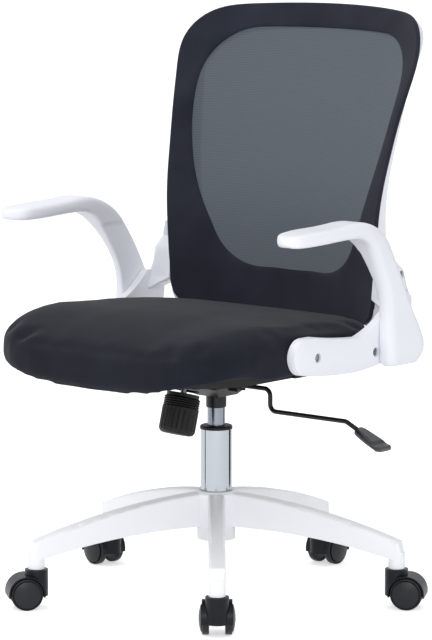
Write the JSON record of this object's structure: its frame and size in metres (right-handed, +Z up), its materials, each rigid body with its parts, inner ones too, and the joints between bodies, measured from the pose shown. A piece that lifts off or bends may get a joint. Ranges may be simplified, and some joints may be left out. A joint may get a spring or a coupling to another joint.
{
  "type": "office chair",
  "caption": "Office chair with a bowed see-through mesh back, crowned seat, flip-up arms, sprung tilt, gas-lift height and a star base on swivelling casters.",
  "frame": {"origin": "on the floor, under the gas lift's axis", "axes": "+Z up, the sitter faces -Y, +X towards the sitter's left"},
  "size_m": [0.6693, 0.6441, 0.915],
  "materials": {
    "white_nylon": "satin moulded",
    "black_plastic": "fine grained",
    "caster_plastic": "satin",
    "wheel_plastic": "satin",
    "chrome_tube": "polished",
    "steel": "ground",
    "spring_steel": "oiled",
    "black_steel": "powder coat",
    "seat_fabric": "woven",
    "border_fabric": "close weave",
    "mesh_fabric": "open mesh"
  },
  "bodies": {
    "base": {"base_star": "white_nylon", "column_tube": "chrome_tube", "guide_bush": "black_plastic", "thrust_bearing": "steel"},
    "column_rod": {"piston_rod": "steel", "retaining_clip": "steel"},
    "lift": {"gas_cylinder": "steel", "taper_socket": "black_steel", "tilt_housing": "black_steel", "tilt_pivot_pin": "steel", "tension_spring": "spring_steel"},
    "release_pin": {"release_pin": "steel"},
    "seat": {"seat_plate": "black_steel", "tension_bolt": "steel", "seat_board": "black_plastic", "seat_cushion": "seat_fabric", "seat_bolts": "steel", "bracket_left": "white_nylon", "bracket_right": "white_nylon", "bracket_bolts": "steel", "back_frame": "white_nylon", "back_border": "border_fabric", "back_mesh": "mesh_fabric", "arm_pivot_left": "steel", "arm_pivot_right": "steel"},
    "arm_left": {"arm_left": "white_nylon"},
    "arm_right": {"arm_right": "white_nylon"},
    "spring_cup": {"spring_cup": "black_steel"},
    "tension_knob": {"tension_knob": "black_plastic"},
    "lever_bush": {"lever_bush": "black_plastic"},
    "lever": {"lever_rod": "black_steel", "lever_paddle": "black_plastic"},
    "caster_1": {"caster_1_hood": "caster_plastic", "caster_1_stem": "steel", "caster_1_axle": "steel"},
    "caster_1_wheel_a": {"caster_1_wheel_a": "wheel_plastic"},
    "caster_1_wheel_b": {"caster_1_wheel_b": "wheel_plastic"},
    "caster_2": {"caster_2_hood": "caster_plastic", "caster_2_stem": "steel", "caster_2_axle": "steel"},
    "caster_2_wheel_a": {"caster_2_wheel_a": "wheel_plastic"},
    "caster_2_wheel_b": {"caster_2_wheel_b": "wheel_plastic"},
    "caster_3": {"caster_3_hood": "caster_plastic", "caster_3_stem": "steel", "caster_3_axle": "steel"},
    "caster_3_wheel_a": {"caster_3_wheel_a": "wheel_plastic"},
    "caster_3_wheel_b": {"caster_3_wheel_b": "wheel_plastic"},
    "caster_4": {"caster_4_hood": "caster_plastic", "caster_4_stem": "steel", "caster_4_axle": "steel"},
    "caster_4_wheel_a": {"caster_4_wheel_a": "wheel_plastic"},
    "caster_4_wheel_b": {"caster_4_wheel_b": "wheel_plastic"},
    "caster_5": {"caster_5_hood": "caster_plastic", "caster_5_stem": "steel", "caster_5_axle": "steel"},
    "caster_5_wheel_a": {"caster_5_wheel_a": "wheel_plastic"},
    "caster_5_wheel_b": {"caster_5_wheel_b": "wheel_plastic"}
  },
  "joints": [
    {"name": "seat_swivel", "type": "hinge", "parent": "base", "child": "column_rod", "pos_m": [0, 0, 0.2], "axis": [0, 0, 1], "continuous": true},
    {"name": "seat_height", "type": "slide", "parent": "column_rod", "child": "lift", "axis": [0, 0, 1], "range_m": [-0.02, 0.07]},
    {"name": "tilt", "type": "hinge", "parent": "lift", "child": "seat", "pos_m": [0, -0.03, 0.346], "axis": [-1, 0, 0], "range_deg": [0, 12], "stiffness_Nm_per_rad": 90, "springref_deg": -22.92, "deforming": ["tension_spring"]},
    {"name": "arm_left_flip", "type": "hinge", "parent": "seat", "child": "arm_left", "pos_m": [0.27, 0.1, 0.437], "axis": [-1, 0, 0], "range_deg": [0, 90]},
    {"name": "arm_right_flip", "type": "hinge", "parent": "seat", "child": "arm_right", "pos_m": [-0.27, 0.1, 0.437], "axis": [-1, 0, 0], "range_deg": [0, 90]},
    {"name": "spring_preload", "type": "slide", "parent": "seat", "child": "spring_cup", "axis": [0, 0.2723, 0.9622], "range_m": [-0.009, 0.0015], "deforming": ["tension_spring"]},
    {"name": "tension_turn", "type": "hinge", "parent": "spring_cup", "child": "tension_knob", "pos_m": [0, -0.096, 0.269], "axis": [0, 0.2723, 0.9622], "range_deg": [-2170, 370], "deforming": ["tension_spring"]},
    {"name": "lever_rock", "type": "hinge", "parent": "lift", "child": "lever_bush", "pos_m": [0.044, 0, 0.339], "axis": [0, -1, 0], "range_deg": [0, 4], "stiffness_Nm_per_rad": 4, "springref_deg": -4.58},
    {"name": "lever_pull", "type": "slide", "parent": "lever_bush", "child": "lever", "axis": [1, 0, 0], "range_m": [0, 0.012]},
    {"name": "valve_press", "type": "slide", "parent": "lift", "child": "release_pin", "axis": [0, 0, -1], "range_m": [0, 0.004]},
    {"name": "caster_1_swivel", "type": "hinge", "parent": "base", "child": "caster_1", "pos_m": [0.19009, -0.22257, 0.06], "axis": [0, 0, 1], "continuous": true},
    {"name": "caster_1_roll_a", "type": "hinge", "parent": "caster_1", "child": "caster_1_wheel_a", "pos_m": [0.17873, -0.20926, 0.025], "axis": [-0.7604, -0.6494, 0], "continuous": true},
    {"name": "caster_1_roll_b", "type": "hinge", "parent": "caster_1", "child": "caster_1_wheel_b", "pos_m": [0.17873, -0.20926, 0.025], "axis": [-0.7604, -0.6494, 0], "continuous": true},
    {"name": "caster_2_swivel", "type": "hinge", "parent": "base", "child": "caster_2", "pos_m": [0.27042, 0.11201, 0.06], "axis": [0, 0, 1], "continuous": true},
    {"name": "caster_2_roll_a", "type": "hinge", "parent": "caster_2", "child": "caster_2_wheel_a", "pos_m": [0.28565, 0.12063, 0.025], "axis": [-0.4924, 0.8704, 0], "continuous": true},
    {"name": "caster_2_roll_b", "type": "hinge", "parent": "caster_2", "child": "caster_2_wheel_b", "pos_m": [0.28565, 0.12063, 0.025], "axis": [-0.4924, 0.8704, 0], "continuous": true},
    {"name": "caster_3_swivel", "type": "hinge", "parent": "base", "child": "caster_3", "pos_m": [-0.02296, 0.2918, 0.06], "axis": [0, 0, 1], "continuous": true},
    {"name": "caster_3_roll_a", "type": "hinge", "parent": "caster_3", "child": "caster_3_wheel_a", "pos_m": [-0.02312, 0.3093, 0.025], "axis": [-1, -0.0087, 0], "continuous": true},
    {"name": "caster_3_roll_b", "type": "hinge", "parent": "caster_3", "child": "caster_3_wheel_b", "pos_m": [-0.02312, 0.3093, 0.025], "axis": [-1, -0.0087, 0], "continuous": true},
    {"name": "caster_4_swivel", "type": "hinge", "parent": "base", "child": "caster_4", "pos_m": [-0.28461, 0.06833, 0.06], "axis": [0, 0, 1], "continuous": true},
    {"name": "caster_4_roll_a", "type": "hinge", "parent": "caster_4", "child": "caster_4_wheel_a", "pos_m": [-0.30187, 0.07122, 0.025], "axis": [-0.165, -0.9863, 0], "continuous": true},
    {"name": "caster_4_roll_b", "type": "hinge", "parent": "caster_4", "child": "caster_4_wheel_b", "pos_m": [-0.30187, 0.07122, 0.025], "axis": [-0.165, -0.9863, 0], "continuous": true},
    {"name": "caster_5_swivel", "type": "hinge", "parent": "base", "child": "caster_5", "pos_m": [-0.15293, -0.24957, 0.06], "axis": [0, 0, 1], "continuous": true},
    {"name": "caster_5_roll_a", "type": "hinge", "parent": "caster_5", "child": "caster_5_wheel_a", "pos_m": [-0.16383, -0.26326, 0.025], "axis": [0.7826, -0.6225, 0], "continuous": true},
    {"name": "caster_5_roll_b", "type": "hinge", "parent": "caster_5", "child": "caster_5_wheel_b", "pos_m": [-0.16383, -0.26326, 0.025], "axis": [0.7826, -0.6225, 0], "continuous": true}
  ],
  "couplings": [
    {"joint": "tension_turn", "follows": "spring_preload", "rad_per_m": 4188.8},
    {"joint": "valve_press", "follows": "lever_rock", "m_per_rad": 0.044}
  ]
}
